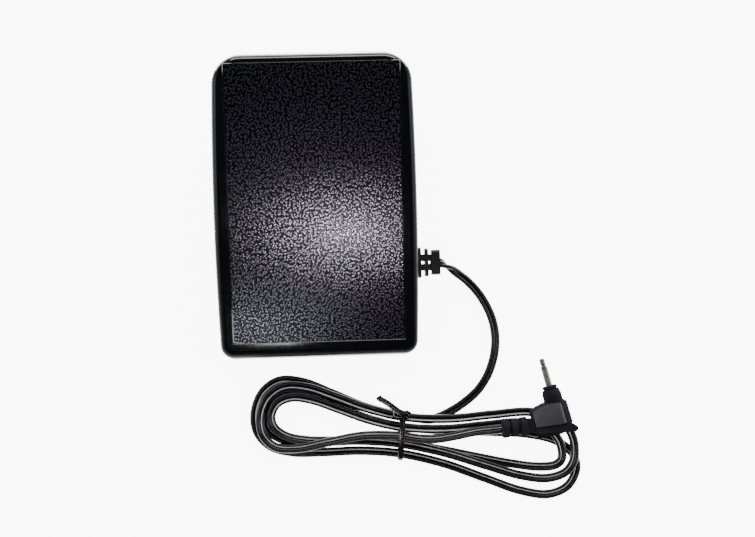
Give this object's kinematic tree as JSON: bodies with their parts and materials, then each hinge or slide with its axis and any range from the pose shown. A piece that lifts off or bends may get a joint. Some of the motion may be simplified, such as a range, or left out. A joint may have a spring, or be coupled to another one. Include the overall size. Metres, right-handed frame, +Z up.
{
  "type": "sewing machine pedal",
  "caption": "Foot controller: arched grained cover hinged at the heel over a base tray, with a flat twin cord tied in a hank and a right-angle plug.",
  "frame": {"origin": "on the floor under the middle of the pedal's cover", "axes": "+Z up; +Y from the heel to the high toe end; +X to the side where the cord leaves"},
  "size_m": [0.1831, 0.2306, 0.0401],
  "materials": {
    "cover_plastic": "glossy black rim round a finely grained field",
    "base_plastic": "satin moulded black",
    "steel": "ground rod",
    "spring_steel": "drawn wire",
    "gear_plastic": "natural moulded plastic",
    "screw_steel": "zinc plated",
    "pot_metal": "plated sheet",
    "contact_brass": "bare",
    "wafer_board": "phenolic",
    "terminal_metal": "tinned",
    "bracket_steel": "zinc plated sheet",
    "board_green": "lacquered",
    "resistor_body": "lacquered",
    "capacitor_body": "dipped",
    "cord_pvc": "smooth black cord sheath",
    "wire_red": "wire insulation",
    "foot_rubber": "matt",
    "boot_pvc": "satin moulded black",
    "tie_plastic": "coated wire",
    "plug_pvc": "satin moulded dark grey",
    "plug_metal": "nickel plated",
    "plug_insulator": "moulded"
  },
  "bodies": {
    "base": {"base_tray": "base_plastic", "hinge_rod": "steel", "return_spring_left": "spring_steel", "return_spring_right": "spring_steel", "pot_housing": "pot_metal", "pot_wafer": "wafer_board", "pot_terminals": "terminal_metal", "pot_nut": "pot_metal", "pot_washer": "pot_metal", "pot_bracket": "bracket_steel", "bracket_screws": "screw_steel", "circuit_board": "board_green", "board_screws": "screw_steel", "resistor": "resistor_body", "capacitor": "capacitor_body", "cord_clamp": "base_plastic", "clamp_screws": "screw_steel", "cord_inner": "cord_pvc", "lead_wires": "wire_red", "pot_wires": "wire_red", "foot_heel_left": "foot_rubber", "foot_heel_right": "foot_rubber", "foot_toe_left": "foot_rubber", "foot_toe_right": "foot_rubber", "cord_boot": "boot_pvc", "cord_lead": "cord_pvc", "cord_hank": "cord_pvc", "cord_tail": "cord_pvc", "twist_tie": "tie_plastic", "plug_body": "plug_pvc", "plug_sleeve": "plug_metal", "plug_ring": "plug_insulator", "plug_tip": "plug_metal"},
    "cover": {"pedal_cover": "cover_plastic", "drive_sector": "gear_plastic", "sector_screws": "screw_steel"},
    "pot_rotor": {"pinion": "gear_plastic", "pot_shaft": "pot_metal", "pot_wiper": "contact_brass"}
  },
  "joints": [
    {"name": "cover_hinge", "type": "hinge", "parent": "base", "child": "cover", "pos_m": [0, -0.0645, 0.0095], "axis": [-1, 0, 0], "range_deg": [0, 5], "stiffness_Nm_per_rad": 6.9, "springref_deg": -4.18, "deforming": ["return_spring_left", "return_spring_right"]},
    {"name": "pot_spin", "type": "hinge", "parent": "base", "child": "pot_rotor", "pos_m": [0, 0.02103, 0.01849], "axis": [1, 0, 0], "range_deg": [0, 70]}
  ],
  "couplings": [
    {"joint": "pot_spin", "follows": "cover_hinge", "ratio": 13.333}
  ]
}
